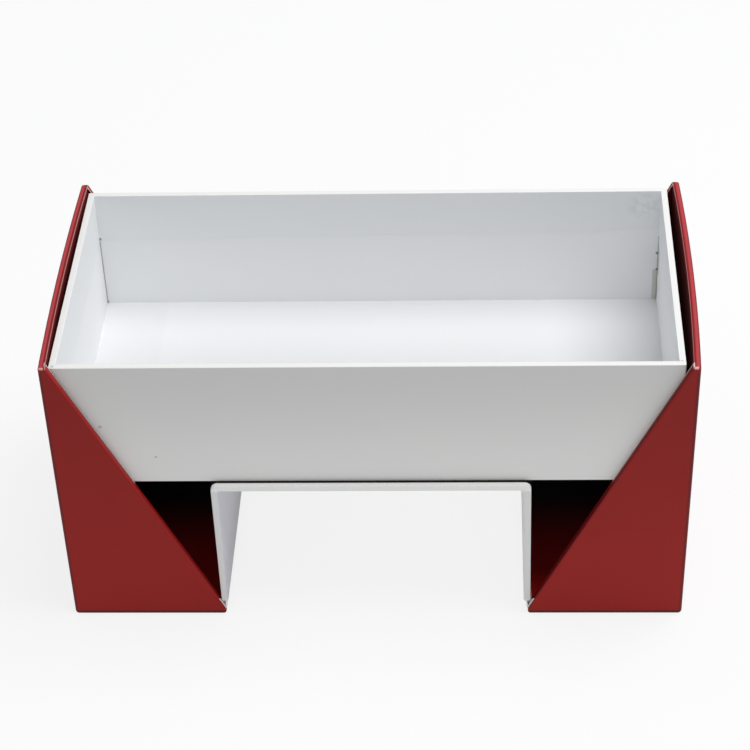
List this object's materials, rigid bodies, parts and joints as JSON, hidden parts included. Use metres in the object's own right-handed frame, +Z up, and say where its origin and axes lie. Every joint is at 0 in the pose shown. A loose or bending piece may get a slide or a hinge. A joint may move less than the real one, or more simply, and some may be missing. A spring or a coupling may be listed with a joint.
{
  "type": "folding display box",
  "caption": "Rigid tray raised on a folding arch, held between corner covers that slide apart as the legs fold flat.",
  "frame": {"origin": "on the table, in the middle of the whole box's outline", "axes": "+X along the tray, +Y from the front to the back, +Z up"},
  "size_m": [0.2302, 0.1144, 0.1172],
  "materials": {
    "tray_board": "greyboard lined with smooth white paper",
    "white_wrap": "matt laminated white art paper",
    "white_wrap_bridge": "greyboard wrapped in matt white art paper",
    "white_hinge_paper": "matt white paper, creased at a fold",
    "red_lining": "matt dark red paper",
    "red_wrap": "greyboard wrapped in matt dark red paper with a fine grain",
    "dark_red_lining": "matt dark red paper"
  },
  "bodies": {
    "tray": {"tray_board": "tray_board", "tray_wrap": "white_wrap", "bridge_plate": "white_wrap_bridge", "plate_liner": "red_lining", "left_top_fold": "white_hinge_paper", "right_top_fold": "white_hinge_paper", "left_fold_liner": "red_lining", "right_fold_liner": "red_lining"},
    "left_leg": {"left_leg": "white_wrap_bridge", "left_leg_liner": "red_lining"},
    "left_cover": {"left_cover": "red_wrap", "left_cover_liner": "dark_red_lining", "left_foot_fold": "white_hinge_paper"},
    "right_leg": {"right_leg": "white_wrap_bridge", "right_leg_liner": "red_lining"},
    "right_cover": {"right_cover": "red_wrap", "right_cover_liner": "dark_red_lining", "right_foot_fold": "white_hinge_paper"}
  },
  "joints": [
    {"name": "left_leg_fold", "type": "hinge", "parent": "tray", "child": "left_leg", "pos_m": [-0.05676, 0, 0.06125], "axis": [0, 1, 0], "range_deg": [0, 90], "deforming": ["left_top_fold", "left_fold_liner"]},
    {"name": "left_cover_fold", "type": "hinge", "parent": "left_leg", "child": "left_cover", "pos_m": [-0.05721, 0, 0.0012], "axis": [0, -1, 0], "range_deg": [0, 90], "deforming": ["left_foot_fold"]},
    {"name": "right_leg_fold", "type": "hinge", "parent": "tray", "child": "right_leg", "pos_m": [0.05454, 0, 0.06125], "axis": [0, -1, 0], "range_deg": [0, 90], "deforming": ["right_top_fold", "right_fold_liner"]},
    {"name": "right_cover_fold", "type": "hinge", "parent": "right_leg", "child": "right_cover", "pos_m": [0.05539, 0, 0.0016], "axis": [0, 1, 0], "range_deg": [0, 90], "deforming": ["right_foot_fold"]}
  ],
  "couplings": [
    {"joint": "left_cover_fold", "follows": "left_leg_fold", "ratio": 1},
    {"joint": "right_cover_fold", "follows": "right_leg_fold", "ratio": 1}
  ]
}
